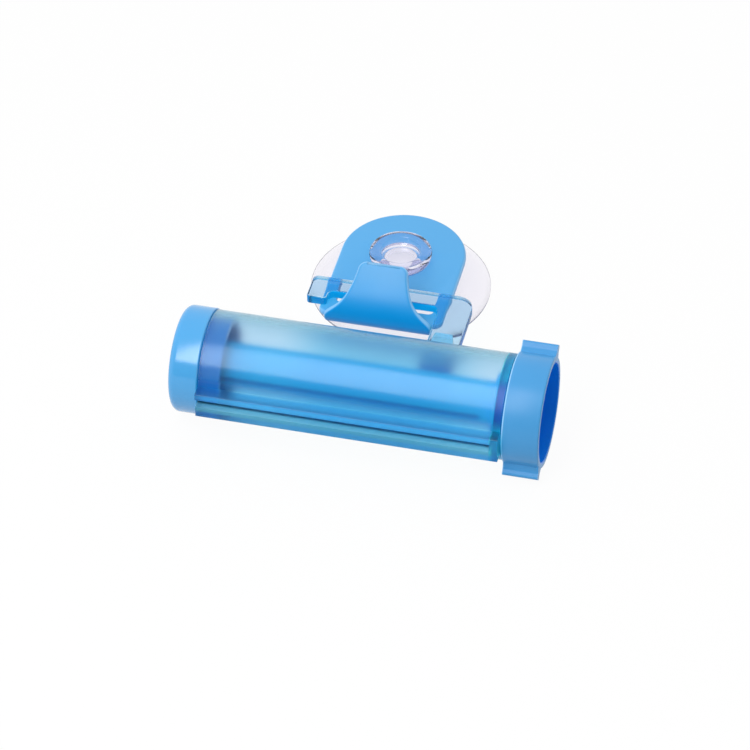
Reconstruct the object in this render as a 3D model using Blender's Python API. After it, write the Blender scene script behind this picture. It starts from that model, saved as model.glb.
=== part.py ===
"""Toothpaste tube squeezer: a slotted barrel with a winding roller, hung from a hook on a suction cup.

Lengths are in metres. X runs along the barrel towards the knob, Y from the barrel to the cup, Z up from the table.
The object lies at rest on its back: the suction cup, and the knob's ring, touch Z = 0.
"""

import math

import bmesh
import bpy
from mathutils import Matrix, Vector

# Clearance between neighbouring pieces, how far a cutter runs past what it cuts, and what counts as one point
GAP = 0.0003
OVERRUN = 0.002
WELD_DISTANCE = 0.0000001

# Barrel tube
BARREL_RADIUS = 0.01275
BARREL_WALL = 0.00155
BARREL_LENGTH = 0.0734
BARREL_END_WALL = 0.0020

# Barrel mouth: a flat lip block along the front, split by the slot the tube's tail goes in
MOUTH_DEPTH = 0.00285
MOUTH_EDGE_RADIUS = 0.0004
SLOT_TOP = 0.0013
SLOT_BOTTOM = 0.0010
LIP_TOP_THICKNESS = 0.0016
LIP_BOTTOM_THICKNESS = 0.0030

# Barrel tab: the gusset under the hanger's leg
TAB_THICKNESS = 0.0020
TAB_REACH = 0.0271
TAB_TIP_LEFT = 0.0115
TAB_TIP_RIGHT = 0.0157
TAB_ROOT_LEFT = 0.0094
TAB_ROOT_RIGHT = 0.0196
TAB_ROOT_DEPTH = 0.00375
TAB_CORNER_RADIUS = 0.0005

# End cap
CAP_STEP = 0.00025
CAP_LENGTH = 0.0074
CAP_WALL = 0.0018
CAP_EDGE_RADIUS = 0.0018
CAP_PLUG_LENGTH = 0.0050
CAP_PLUG_WALL = 0.0014
CAP_SOCKET_LENGTH = 0.0080
CAP_SOCKET_WALL = 0.0015

# Roller: a split shaft with a flange, a journal and a square tail
ROLLER_RADIUS = 0.0055
ROLLER_CHAMFER = 0.0006
ROLLER_SLIT = 0.0017
ROLLER_SLIT_STOP = 0.0030
ROLLER_FLANGE_HEIGHT = 0.0023
ROLLER_FLANGE_WIDTH = 0.0012
ROLLER_TAIL_SIDE = 0.0066
ROLLER_TAIL_PROUD = 0.0006

# Knob: an open cup with two grip wings
KNOB_RADIUS = 0.0135
KNOB_WALL = 0.0015
KNOB_LENGTH = 0.0090
KNOB_FLOOR = 0.0018
KNOB_EDGE_RADIUS = 0.0004
KNOB_HUB_WALL = 0.0028
KNOB_HUB_HEIGHT = 0.0022
WING_HEIGHT = 0.0027
WING_THICKNESS = 0.0026
WING_FLARE = 0.0013
WING_FLARE_HEIGHT = 0.0011
WING_ROOT_DEPTH = 0.0009
WING_EDGE_RADIUS = 0.0006
WING_INSET = 0.0002
WING_LEAN = math.radians(45)

# Hanger: a flat clear plate with one leg, a bar and a lip at the bar's free end
HANGER_THICKNESS = 0.0025
HANGER_LEFT = 0.0222
HANGER_RIGHT = 0.0187
HANGER_REACH = 0.0396
HANGER_LEG_WIDTH = 0.0081
HANGER_BAR_WIDTH = 0.0049
HANGER_LIP_WIDTH = 0.0050
HANGER_LIP_DROP = 0.0032
HANGER_OUTER_RADIUS = 0.0042
HANGER_TIP_RADIUS = 0.0014
HANGER_LIP_RADIUS = 0.0008
HANGER_INNER_RADIUS = 0.0016
HANGER_EDGE_RADIUS = 0.0003

# Hook: one sheet, an arched plate that bends up at its end into the tongue
HOOK_THICKNESS = 0.0020
HOOK_HALF_WIDTH = 0.0157
HOOK_ARCH_PAST_CUP = 0.0029
HOOK_HOLE_PLAY = 0.0005
HOOK_FRONT = 0.0269
HOOK_BEND_RADIUS = 0.0030
HOOK_CORNER_LENGTH = 0.0021
HOOK_BASE_HALF_WIDTH = 0.0135
TONGUE_LEAN_RADIUS = 0.0105
TONGUE_LEAN = math.radians(47)
TONGUE_STRAIGHT = 0.0068
TONGUE_TIP_HALF_WIDTH = 0.0055
TONGUE_TIP_RADIUS = 0.0022
TONGUE_FLARE_LENGTH = 0.0038
TONGUE_TAPER_SHARE = 0.11
HOOK_EDGE_RADIUS = 0.0008
WINDOW_MARGIN = 0.0033
WINDOW_NEAR = 0.0341
WINDOW_FAR = 0.0422
WINDOW_CORNER_RADIUS = 0.0014

# Suction cup
CUP_RADIUS = 0.0226
CUP_X = -0.0033
CUP_Y_FROM_AXIS = 0.0528
CUP_LIP_THICKNESS = 0.0006
CUP_LIP_WIDTH = 0.0012
CUP_SHOULDER_WIDTH = 0.0039
CUP_SHOULDER_EDGE = 0.0006
CUP_HOLLOW_HEIGHT = 0.0032
CUP_ARCH_SHARE = 0.7
CUP_NECK_RADIUS = 0.0045
HEAD_OVERHANG = 0.00335
HEAD_HEIGHT = 0.0034
HEAD_UNDERCUT = 0.00125
HEAD_TOP_INSET = 0.00165
HEAD_WIDEST_SHARE = 0.7
HEAD_RIM = 0.0012
HEAD_DIMPLE_TAPER = 0.0010
HEAD_FLOOR = 0.0008

# Heights above the table
AXIS_Z = KNOB_RADIUS
PLATE_BOTTOM = 0.0065

# Facets
ROUND_STEPS = 64
CORNER_STEPS = 5
EDGE_STEPS = 3
ARCH_STEPS = 20
CLIMB_STEPS = 9
SMOOTH_ANGLE = math.radians(32)
EDGE_ANGLE = math.radians(50)

# Radii and reaches that follow from the sizes
BARREL_BORE_RADIUS = BARREL_RADIUS - BARREL_WALL
MOUTH_REACH = BARREL_RADIUS + MOUTH_DEPTH
MOUTH_TOP = SLOT_TOP + LIP_TOP_THICKNESS
MOUTH_BOTTOM = SLOT_BOTTOM + LIP_BOTTOM_THICKNESS
TAB_ROOT_REACH = BARREL_RADIUS - TAB_ROOT_DEPTH
CAP_RADIUS = BARREL_RADIUS + CAP_STEP
ROLLER_FLANGE_RADIUS = ROLLER_RADIUS + ROLLER_FLANGE_HEIGHT
ROLLER_TAIL_LENGTH = KNOB_FLOOR + KNOB_HUB_HEIGHT + ROLLER_TAIL_PROUD
KNOB_INNER_RADIUS = KNOB_RADIUS - KNOB_WALL
KNOB_HUB_RADIUS = ROLLER_TAIL_SIDE / 2 + GAP + KNOB_HUB_WALL
WING_REACH = KNOB_RADIUS + WING_HEIGHT
WING_FLARE_REACH = KNOB_RADIUS + WING_FLARE_HEIGHT
WING_ROOT_REACH = KNOB_RADIUS - WING_ROOT_DEPTH
HOOK_HOLE_RADIUS = CUP_NECK_RADIUS + HOOK_HOLE_PLAY
WINDOW_HALF_WIDTH = HOOK_HALF_WIDTH - WINDOW_MARGIN
CUP_SHOULDER_RADIUS = CUP_NECK_RADIUS + CUP_SHOULDER_WIDTH
HEAD_RADIUS = CUP_NECK_RADIUS + HEAD_OVERHANG
HEAD_BOTTOM_RADIUS = HEAD_RADIUS - HEAD_UNDERCUT
HEAD_TOP_RADIUS = HEAD_RADIUS - HEAD_TOP_INSET
HEAD_DIMPLE_RADIUS = HEAD_TOP_RADIUS - HEAD_RIM
HEAD_DIMPLE_FLOOR_RADIUS = HEAD_DIMPLE_RADIUS - HEAD_DIMPLE_TAPER

# Places along X and Y that follow from the sizes
TOTAL_LENGTH = CAP_LENGTH + GAP + BARREL_LENGTH + GAP + KNOB_LENGTH
CAP_X = -TOTAL_LENGTH / 2
BARREL_X = CAP_X + CAP_LENGTH + GAP
BARREL_END_X = BARREL_X + BARREL_LENGTH
END_WALL_X = BARREL_END_X - BARREL_END_WALL
KNOB_X = BARREL_END_X + GAP
AXIS_Y = -(CUP_Y_FROM_AXIS + CUP_RADIUS - MOUTH_REACH) / 2
CUP_Y = AXIS_Y + CUP_Y_FROM_AXIS
PLATE_TOP = PLATE_BOTTOM + HOOK_THICKNESS
HANGER_BOTTOM = PLATE_TOP + GAP
HANGER_TOP = HANGER_BOTTOM + HANGER_THICKNESS

# The hook's sheet laid flat: the plate up to the bend, the bend, and the tongue above it
HOOK_MIDDLE = HOOK_THICKNESS / 2
PLATE_LENGTH = CUP_Y_FROM_AXIS + HOOK_ARCH_PAST_CUP + HOOK_HALF_WIDTH - HOOK_FRONT - HOOK_BEND_RADIUS
BEND_LENGTH = (HOOK_BEND_RADIUS - HOOK_MIDDLE) * math.pi / 2
TONGUE_LENGTH = (TONGUE_LEAN_RADIUS - HOOK_MIDDLE) * TONGUE_LEAN + TONGUE_STRAIGHT


def clear_scene():
    for old in list(bpy.data.objects):
        bpy.data.objects.remove(old, do_unlink=True)


def material(name, colour, roughness, transmission=0.0):
    made = bpy.data.materials.new(name)
    made.use_nodes = True
    shader = made.node_tree.nodes["Principled BSDF"]
    shader.inputs["Base Color"].default_value = (*colour, 1.0)
    shader.inputs["Roughness"].default_value = roughness
    shader.inputs["Transmission Weight"].default_value = transmission
    made.diffuse_color = (*colour, 1.0)
    return made


def add_object(name, shape, made_of=None, origin=None):
    """The object that holds a finished bmesh, with its origin moved to the given point."""
    bmesh.ops.remove_doubles(shape, verts=shape.verts, dist=WELD_DISTANCE)
    bmesh.ops.recalc_face_normals(shape, faces=shape.faces)
    if origin is not None:
        bmesh.ops.translate(shape, verts=shape.verts, vec=-Vector(origin))
    mesh = bpy.data.meshes.new(name)
    shape.to_mesh(mesh)
    shape.free()
    for face in mesh.polygons:
        face.use_smooth = True
    mesh.set_sharp_from_angle(angle=SMOOTH_ANGLE)
    if made_of is not None:
        mesh.materials.append(made_of)
    added = bpy.data.objects.new(name, mesh)
    if origin is not None:
        added.location = origin
    bpy.context.scene.collection.objects.link(added)
    return added


def cutter(name, shape):
    added = add_object(name, shape)
    added.hide_render = True
    added.display_type = "WIRE"
    return added


def combine(target, other, operation):
    joined = target.modifiers.new(other.name, "BOOLEAN")
    joined.operation = operation
    joined.solver = "EXACT"
    joined.object = other


def rounded(corners):
    """A closed outline from (u, v, radius) corners, each turned into an arc of that radius."""
    points = []
    for index, (u, v, radius) in enumerate(corners):
        corner = Vector((u, v))
        before = (Vector(corners[index - 1][:2]) - corner).normalized()
        after = (Vector(corners[(index + 1) % len(corners)][:2]) - corner).normalized()
        if radius == 0:
            points.append(corner)
            continue
        half = before.angle(after) / 2
        middle = corner + (before + after).normalized() * radius / math.sin(half)
        start = corner + before * radius / math.tan(half) - middle
        end = corner + after * radius / math.tan(half) - middle
        turn = start.angle_signed(end)
        for step in range(CORNER_STEPS + 1):
            points.append(middle + Matrix.Rotation(-turn * step / CORNER_STEPS, 2) @ start)
    return points


def prism(outline, low, high, place):
    """A solid between two copies of an outline. place(u, v, w) gives the point in the world."""
    shape = bmesh.new()
    rings = [[shape.verts.new(place(u, v, w)) for u, v in outline] for w in (low, high)]
    shape.faces.new(rings[0])
    shape.faces.new(rings[1])
    for index in range(len(outline)):
        ahead = (index + 1) % len(outline)
        shape.faces.new((rings[0][index], rings[0][ahead], rings[1][ahead], rings[1][index]))
    return shape


def along_x(y, z, x):
    """Section points measured from the barrel's axis, drawn along X."""
    return (x, AXIS_Y + y, AXIS_Z + z)


def along_z(x, y, z):
    """Plan points, with Y measured from the barrel's axis, drawn along Z."""
    return (x, AXIS_Y + y, z)


def box(x, y, z, place):
    return prism([(x[0], y[0]), (x[1], y[0]), (x[1], y[1]), (x[0], y[1])], z[0], z[1], place)


def lathe(profile, place):
    """A turned solid. The profile is (along, radius) points, and place(along, a, b) gives the point in the world."""
    shape = bmesh.new()
    rings = []
    for along, radius in profile:
        if radius == 0:
            rings.append([shape.verts.new(place(along, 0, 0))] * ROUND_STEPS)
            continue
        angles = [2 * math.pi * step / ROUND_STEPS for step in range(ROUND_STEPS)]
        rings.append([shape.verts.new(place(along, radius * math.cos(a), radius * math.sin(a))) for a in angles])
    for lower, upper in zip(rings, rings[1:]):
        for step in range(ROUND_STEPS):
            ahead = (step + 1) % ROUND_STEPS
            corners = []
            for vert in (lower[step], lower[ahead], upper[ahead], upper[step]):
                if vert not in corners:
                    corners.append(vert)
            if len(corners) > 2:
                shape.faces.new(corners)
    return shape


def about_barrel(along, a, b):
    return (along, AXIS_Y + a, AXIS_Z + b)


def about_cup(along, a, b):
    return (CUP_X + a, CUP_Y + b, along)


def quarter(start, end, bulge_first):
    """Points of a quarter ellipse between two profile points, leaving along the first axis or the second."""
    points = []
    for step in range(1, CORNER_STEPS + 1):
        angle = math.pi / 2 * step / CORNER_STEPS
        ahead, aside = math.sin(angle), 1 - math.cos(angle)
        first, second = (ahead, aside) if bulge_first else (aside, ahead)
        points.append((start[0] + (end[0] - start[0]) * first, start[1] + (end[1] - start[1]) * second))
    return points


def build_barrel(made_of):
    """Tube and mouth block in one section, joined by the tab, then bored, slotted and pierced for the journal."""
    top = math.asin(MOUTH_TOP / BARREL_RADIUS)
    bottom = math.asin(MOUTH_BOTTOM / BARREL_RADIUS)
    outline = []
    for step in range(ROUND_STEPS + 1):
        angle = top + (2 * math.pi - top - bottom) * step / ROUND_STEPS
        outline.append((-BARREL_RADIUS * math.cos(angle), BARREL_RADIUS * math.sin(angle)))
    inner = -BARREL_RADIUS / 2
    block = rounded([
        (inner, -MOUTH_BOTTOM, 0),
        (-MOUTH_REACH, -MOUTH_BOTTOM, MOUTH_EDGE_RADIUS),
        (-MOUTH_REACH, MOUTH_TOP, MOUTH_EDGE_RADIUS),
        (inner, MOUTH_TOP, 0),
    ])
    outline += [tuple(point) for point in block[1:-1]]
    barrel = add_object("barrel", prism(outline, BARREL_X, BARREL_END_X, along_x), made_of)
    tab = rounded([
        (TAB_ROOT_LEFT, TAB_ROOT_REACH, 0),
        (TAB_TIP_LEFT, TAB_REACH, TAB_CORNER_RADIUS),
        (TAB_TIP_RIGHT, TAB_REACH, TAB_CORNER_RADIUS),
        (TAB_ROOT_RIGHT, TAB_ROOT_REACH, 0),
    ])
    tab_shape = prism(tab, PLATE_TOP - TAB_THICKNESS, PLATE_TOP, along_z)
    combine(barrel, cutter("barrel_tab", tab_shape), "UNION")
    bore = [
        (BARREL_X - OVERRUN, 0),
        (BARREL_X - OVERRUN, BARREL_BORE_RADIUS),
        (END_WALL_X, BARREL_BORE_RADIUS),
        (END_WALL_X, 0),
    ]
    combine(barrel, cutter("barrel_bore", lathe(bore, about_barrel)), "DIFFERENCE")
    slot = box(
        (-MOUTH_REACH - OVERRUN, inner),
        (-SLOT_BOTTOM, SLOT_TOP),
        (BARREL_X - OVERRUN, END_WALL_X),
        along_x,
    )
    combine(barrel, cutter("barrel_slot", slot), "DIFFERENCE")
    hole = [
        (END_WALL_X - OVERRUN, 0),
        (END_WALL_X - OVERRUN, ROLLER_RADIUS + GAP),
        (BARREL_END_X + OVERRUN, ROLLER_RADIUS + GAP),
        (BARREL_END_X + OVERRUN, 0),
    ]
    combine(barrel, cutter("barrel_journal_hole", lathe(hole, about_barrel)), "DIFFERENCE")


def build_end_cap(made_of):
    """A turned cap: skirt, plug inside the bore, and a socket that carries the roller's split end."""
    rim = CAP_X + CAP_LENGTH
    floor = CAP_X + CAP_WALL
    plug = BARREL_BORE_RADIUS - GAP
    socket = ROLLER_RADIUS + GAP
    profile = [(CAP_X, 0), (CAP_X, CAP_RADIUS - CAP_EDGE_RADIUS)]
    profile += quarter(profile[-1], (CAP_X + CAP_EDGE_RADIUS, CAP_RADIUS), False)
    profile += [
        (rim, CAP_RADIUS),
        (rim, plug),
        (rim + CAP_PLUG_LENGTH, plug),
        (rim + CAP_PLUG_LENGTH, plug - CAP_PLUG_WALL),
        (floor, plug - CAP_PLUG_WALL),
        (floor, socket + CAP_SOCKET_WALL),
        (floor + CAP_SOCKET_LENGTH, socket + CAP_SOCKET_WALL),
        (floor + CAP_SOCKET_LENGTH, socket),
        (floor, socket),
        (floor, 0),
    ]
    add_object("end_cap", lathe(profile, about_barrel), made_of)


def build_roller(made_of):
    """A turned shaft with a flange, split from its left end, with a square tail for the knob."""
    start = CAP_X + CAP_WALL + GAP
    flange_end = END_WALL_X - GAP
    flange_start = flange_end - ROLLER_FLANGE_WIDTH
    tail_start = KNOB_X - GAP / 2
    profile = [
        (start, 0),
        (start, ROLLER_RADIUS - ROLLER_CHAMFER),
        (start + ROLLER_CHAMFER, ROLLER_RADIUS),
        (flange_start, ROLLER_RADIUS),
        (flange_start, ROLLER_FLANGE_RADIUS),
        (flange_end, ROLLER_FLANGE_RADIUS),
        (flange_end, ROLLER_RADIUS),
        (tail_start, ROLLER_RADIUS),
        (tail_start, 0),
    ]
    origin = about_barrel(start, 0, 0)
    roller = add_object("roller", lathe(profile, about_barrel), made_of, origin)
    half = ROLLER_TAIL_SIDE / 2
    tail = box((-half, half), (-half, half), (flange_end, KNOB_X + ROLLER_TAIL_LENGTH), along_x)
    combine(roller, cutter("roller_tail", tail), "UNION")
    half = ROLLER_SLIT / 2
    wide = ROLLER_RADIUS + OVERRUN
    slit = box((-wide, wide), (-half, half), (start - OVERRUN, flange_start - ROLLER_SLIT_STOP), along_x)
    combine(roller, cutter("roller_slit", slit), "DIFFERENCE")


def wing(side):
    """One grip wing's section, flared where it grows out of the ring, leaning at WING_LEAN."""
    tip = WING_THICKNESS / 2
    root = tip + WING_FLARE
    corners = [
        (WING_ROOT_REACH, -root, 0),
        (WING_FLARE_REACH, -tip, WING_EDGE_RADIUS),
        (WING_REACH, -tip, WING_EDGE_RADIUS),
        (WING_REACH, tip, WING_EDGE_RADIUS),
        (WING_FLARE_REACH, tip, WING_EDGE_RADIUS),
        (WING_ROOT_REACH, root, 0),
    ]
    out = Vector((math.cos(WING_LEAN), math.sin(WING_LEAN))) * side
    across = Vector((-out.y, out.x))
    return [tuple(out * along + across * aside) for along, aside in rounded(corners)]


def build_knob(made_of):
    """A turned cup open to the right, two wings and a square hole through floor and hub."""
    end = KNOB_X + KNOB_LENGTH
    floor = KNOB_X + KNOB_FLOOR
    profile = [
        (KNOB_X, 0),
        (KNOB_X, KNOB_RADIUS - KNOB_EDGE_RADIUS),
        (KNOB_X + KNOB_EDGE_RADIUS, KNOB_RADIUS),
        (end - KNOB_EDGE_RADIUS, KNOB_RADIUS),
        (end, KNOB_RADIUS - KNOB_EDGE_RADIUS),
        (end, KNOB_INNER_RADIUS),
        (floor, KNOB_INNER_RADIUS),
        (floor, KNOB_HUB_RADIUS),
        (floor + KNOB_HUB_HEIGHT, KNOB_HUB_RADIUS),
        (floor + KNOB_HUB_HEIGHT, 0),
    ]
    origin = about_barrel(KNOB_X, 0, 0)
    knob = add_object("knob", lathe(profile, about_barrel), made_of, origin)
    for name, side in (("knob_wing_back", 1), ("knob_wing_front", -1)):
        shape = prism(wing(side), KNOB_X + WING_INSET, end - WING_INSET, along_x)
        combine(knob, cutter(name, shape), "UNION")
    half = ROLLER_TAIL_SIDE / 2 + GAP
    hole = box((-half, half), (-half, half), (KNOB_X - OVERRUN, end), along_x)
    combine(knob, cutter("knob_hole", hole), "DIFFERENCE")


def build_hanger(made_of):
    """A flat plate cut to a leg, a bar and a lip. The leg starts just clear of the barrel's back."""
    foot = BARREL_RADIUS + GAP
    leg = HANGER_RIGHT - HANGER_LEG_WIDTH
    bar = HANGER_REACH - HANGER_BAR_WIDTH
    lip = bar - HANGER_LIP_DROP
    lip_right = HANGER_LIP_WIDTH - HANGER_LEFT
    outline = rounded([
        (leg, foot, 0),
        (HANGER_RIGHT, foot, 0),
        (HANGER_RIGHT, HANGER_REACH, HANGER_OUTER_RADIUS),
        (-HANGER_LEFT, HANGER_REACH, HANGER_TIP_RADIUS),
        (-HANGER_LEFT, lip, HANGER_LIP_RADIUS),
        (lip_right, lip, HANGER_LIP_RADIUS),
        (lip_right, bar, HANGER_INNER_RADIUS),
        (leg, bar, HANGER_INNER_RADIUS),
    ])
    shape = prism([tuple(point) for point in outline], HANGER_BOTTOM, HANGER_TOP, along_z)
    hanger = add_object("hanger", shape, made_of)
    edges = hanger.modifiers.new("edges", "BEVEL")
    edges.width = HANGER_EDGE_RADIUS
    edges.segments = 2
    edges.limit_method = "ANGLE"
    edges.angle_limit = EDGE_ANGLE


def hook_sheet(travel):
    """The sheet's middle at a distance along it from the arch's top: (y, z) and the way its inner face looks."""
    bend, lean = HOOK_BEND_RADIUS - HOOK_MIDDLE, TONGUE_LEAN_RADIUS - HOOK_MIDDLE
    turn_y, turn_z = HOOK_FRONT + HOOK_BEND_RADIUS, PLATE_BOTTOM + HOOK_BEND_RADIUS
    if travel < PLATE_LENGTH:
        return Vector((turn_y + PLATE_LENGTH - travel, PLATE_BOTTOM + HOOK_MIDDLE)), Vector((0, 1))
    travel -= PLATE_LENGTH
    if travel < BEND_LENGTH:
        angle = travel / bend
        out = Vector((-math.sin(angle), -math.cos(angle)))
        return Vector((turn_y, turn_z)) + out * bend, -out
    travel -= BEND_LENGTH
    angle = min(travel / lean, TONGUE_LEAN)
    out = Vector((-math.cos(angle), math.sin(angle)))
    point = Vector((HOOK_FRONT + TONGUE_LEAN_RADIUS, turn_z)) + out * lean
    past = max(travel - lean * TONGUE_LEAN, 0)
    return point + Vector((math.sin(angle), math.cos(angle))) * past, -out


def hook_outline():
    """Half the sheet's outline laid flat: (distance from the arch's top, half width) from arch to tongue tip."""
    points = []
    for step in range(ARCH_STEPS + 1):
        angle = math.pi / 2 * step / ARCH_STEPS
        points.append((HOOK_HALF_WIDTH * (1 - math.cos(angle)), HOOK_HALF_WIDTH * math.sin(angle)))
    for step in range(CORNER_STEPS + 1):
        angle = math.pi / 2 * step / CORNER_STEPS
        narrowing = (HOOK_HALF_WIDTH - HOOK_BASE_HALF_WIDTH) * (1 - math.cos(angle))
        points.append((PLATE_LENGTH - HOOK_CORNER_LENGTH * (1 - math.sin(angle)), HOOK_HALF_WIDTH - narrowing))
    for step in range(1, CORNER_STEPS):
        points.append((PLATE_LENGTH + BEND_LENGTH * step / CORNER_STEPS, HOOK_BASE_HALF_WIDTH))
    foot = PLATE_LENGTH + BEND_LENGTH
    flare = HOOK_BASE_HALF_WIDTH - TONGUE_TIP_HALF_WIDTH - TONGUE_TAPER_SHARE * TONGUE_LENGTH
    for step in range(ARCH_STEPS + 1):
        up = (TONGUE_LENGTH - TONGUE_TIP_RADIUS) * step / ARCH_STEPS
        narrow = TONGUE_TIP_HALF_WIDTH + TONGUE_TAPER_SHARE * (TONGUE_LENGTH - up)
        narrow += flare / (1 + (up / TONGUE_FLARE_LENGTH) ** 2)
        points.append((foot + up, narrow))
    for step in range(1, CORNER_STEPS + 1):
        angle = math.pi / 2 * step / CORNER_STEPS
        past = TONGUE_TIP_RADIUS * (1 - math.sin(angle))
        points.append((foot + TONGUE_LENGTH - past, narrow - TONGUE_TIP_RADIUS * (1 - math.cos(angle))))
    return points


def build_hook(made_of):
    """The sheet with rounded edges, then the neck hole and the window cut through the plate."""
    outline = hook_outline()
    shape = bmesh.new()
    rows = []
    for index, (travel, half) in enumerate(outline):
        before = Vector(outline[index - 1] if index else (travel, -half - HOOK_EDGE_RADIUS))
        after = Vector(outline[index + 1] if index + 1 < len(outline) else (travel, half - HOOK_EDGE_RADIUS))
        way = (after - before).normalized()
        out = Vector((-way.y, way.x))
        row = []
        for face in (1, -1):
            for step in range(EDGE_STEPS + 1):
                turned = step if face > 0 else EDGE_STEPS - step
                angle = math.pi / 2 * turned / EDGE_STEPS
                inset = HOOK_EDGE_RADIUS * (1 - math.sin(angle))
                rise = HOOK_MIDDLE - HOOK_EDGE_RADIUS * (1 - math.cos(angle))
                row.append((travel - out.x * inset, max(half - out.y * inset, 0), rise * face))
        verts = []
        for side in (1, -1):
            ordered = row if side > 0 else row[::-1]
            for along, aside, rise in ordered:
                point, normal = hook_sheet(along)
                y, z = point + normal * rise
                verts.append(shape.verts.new((CUP_X + aside * side, AXIS_Y + y, z)))
        rows.append(verts)
    for first, second in zip(rows, rows[1:]):
        for index in range(len(first)):
            ahead = (index + 1) % len(first)
            shape.faces.new((first[index], first[ahead], second[ahead], second[index]))
    shape.faces.new(rows[-1])
    bmesh.ops.remove_doubles(shape, verts=shape.verts, dist=WELD_DISTANCE)
    bmesh.ops.holes_fill(shape, edges=shape.edges)
    hook = add_object("hook", shape, made_of, (CUP_X, CUP_Y, PLATE_BOTTOM))
    hole = [
        (PLATE_BOTTOM - OVERRUN, 0),
        (PLATE_BOTTOM - OVERRUN, HOOK_HOLE_RADIUS),
        (PLATE_TOP + OVERRUN, HOOK_HOLE_RADIUS),
        (PLATE_TOP + OVERRUN, 0),
    ]
    combine(hook, cutter("hook_hole", lathe(hole, about_cup)), "DIFFERENCE")
    window = rounded([
        (CUP_X - WINDOW_HALF_WIDTH, WINDOW_NEAR, WINDOW_CORNER_RADIUS),
        (CUP_X + WINDOW_HALF_WIDTH, WINDOW_NEAR, WINDOW_CORNER_RADIUS),
        (CUP_X + WINDOW_HALF_WIDTH, WINDOW_FAR, WINDOW_CORNER_RADIUS),
        (CUP_X - WINDOW_HALF_WIDTH, WINDOW_FAR, WINDOW_CORNER_RADIUS),
    ])
    shape = prism([tuple(point) for point in window], PLATE_BOTTOM - OVERRUN, PLATE_TOP + OVERRUN, along_z)
    combine(hook, cutter("hook_window", shape), "DIFFERENCE")


def build_suction_cup(made_of):
    """A turned bell with a thin lip, a neck through the hook's hole and a dimpled mushroom head."""
    shoulder = PLATE_BOTTOM - GAP
    head = PLATE_TOP + GAP
    top = head + HEAD_HEIGHT
    flare = CUP_RADIUS - CUP_LIP_WIDTH
    profile = [(CUP_HOLLOW_HEIGHT, 0)]
    for step in range(1, CLIMB_STEPS):
        share = step / CLIMB_STEPS
        profile.append((CUP_HOLLOW_HEIGHT * (1 - share ** 2), flare * share))
    profile += [(0, flare), (0, CUP_RADIUS), (CUP_LIP_THICKNESS, CUP_RADIUS)]
    climb = shoulder - CUP_SHOULDER_EDGE - CUP_LIP_THICKNESS
    for step in range(1, CLIMB_STEPS + 1):
        share = step / CLIMB_STEPS
        risen = share + CUP_ARCH_SHARE * share * (1 - share)
        profile.append((CUP_LIP_THICKNESS + climb * risen, CUP_RADIUS - (CUP_RADIUS - CUP_SHOULDER_RADIUS) * share))
    profile += [
        (shoulder, CUP_SHOULDER_RADIUS - CUP_SHOULDER_EDGE),
        (shoulder, CUP_NECK_RADIUS),
        (head, CUP_NECK_RADIUS),
        (head, HEAD_BOTTOM_RADIUS),
    ]
    profile += quarter(profile[-1], (head + HEAD_HEIGHT * HEAD_WIDEST_SHARE, HEAD_RADIUS), False)
    profile += quarter(profile[-1], (top, HEAD_TOP_RADIUS), True)
    profile += [
        (top, HEAD_DIMPLE_RADIUS),
        (head + HEAD_FLOOR, HEAD_DIMPLE_FLOOR_RADIUS),
        (head + HEAD_FLOOR, 0),
    ]
    add_object("suction_cup", lathe(profile, about_cup), made_of)


clear_scene()
build_barrel(material("frosted_blue_styrene", (0.20, 0.55, 0.85), 0.45, 0.8))
build_end_cap(material("sky_blue_abs", (0.13, 0.45, 0.82), 0.35))
build_roller(material("sky_blue_shaft", (0.12, 0.42, 0.80), 0.4))
build_knob(material("sky_blue_knob", (0.12, 0.43, 0.80), 0.35))
build_hanger(material("clear_blue_styrene", (0.30, 0.62, 0.85), 0.1, 0.9))
build_hook(material("sky_blue_hook", (0.15, 0.47, 0.83), 0.4))
build_suction_cup(material("clear_pvc", (0.90, 0.90, 0.93), 0.1, 0.9))
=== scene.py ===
"""A toothpaste tube squeezer lying on its back on a pale table, under soft studio light.

Lengths are in metres. X runs along the barrel to the knob, Y from the barrel to the suction cup, Z up.
"""

import math

import bmesh
import bpy
from mathutils import Matrix, Vector


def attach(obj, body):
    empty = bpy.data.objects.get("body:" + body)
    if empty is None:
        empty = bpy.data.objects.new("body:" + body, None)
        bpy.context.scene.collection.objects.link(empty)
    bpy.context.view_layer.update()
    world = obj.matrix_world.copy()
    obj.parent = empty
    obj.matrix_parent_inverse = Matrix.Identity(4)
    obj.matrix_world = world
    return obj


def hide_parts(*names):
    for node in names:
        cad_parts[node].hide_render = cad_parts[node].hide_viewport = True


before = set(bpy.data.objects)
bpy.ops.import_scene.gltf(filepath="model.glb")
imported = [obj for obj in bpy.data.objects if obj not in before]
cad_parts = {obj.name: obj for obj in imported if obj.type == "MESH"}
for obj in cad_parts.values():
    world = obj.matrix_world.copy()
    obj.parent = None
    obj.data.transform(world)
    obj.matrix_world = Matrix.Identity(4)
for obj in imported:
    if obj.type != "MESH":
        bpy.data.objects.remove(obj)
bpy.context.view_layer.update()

# Suction cup: one clear, soft PVC moulding with a bell, a neck and a dimpled mushroom head.
# It is injection moulded: its thick head is glassy and faintly lilac, and its thin bell has a fine haze.
# The hook's hole snaps over the head and turns on the neck.
MM = 0.001
TURN_STEPS, BELL_STEPS = 144, 24
WELD, SOFT_ANGLE = 0.0001 * MM, math.radians(30)
CUP_X, CUP_Y = -3.3 * MM, 22.9 * MM
CUP_RADIUS, CUP_FLARE_RADIUS = 22.6 * MM, 21.4 * MM
CUP_SHOULDER_RADIUS, CUP_SHOULDER_Z = 8.4 * MM, 6.2 * MM
CUP_LIP, CUP_HOLLOW, CUP_ARCH_SHARE, NECK_RADIUS = 0.6 * MM, 3.2 * MM, 0.7, 4.5 * MM
HEAD_BOTTOM_Z, HEAD_TOP_Z, HEAD_WIDEST_Z = 8.8 * MM, 12.2 * MM, 11.2 * MM
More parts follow.
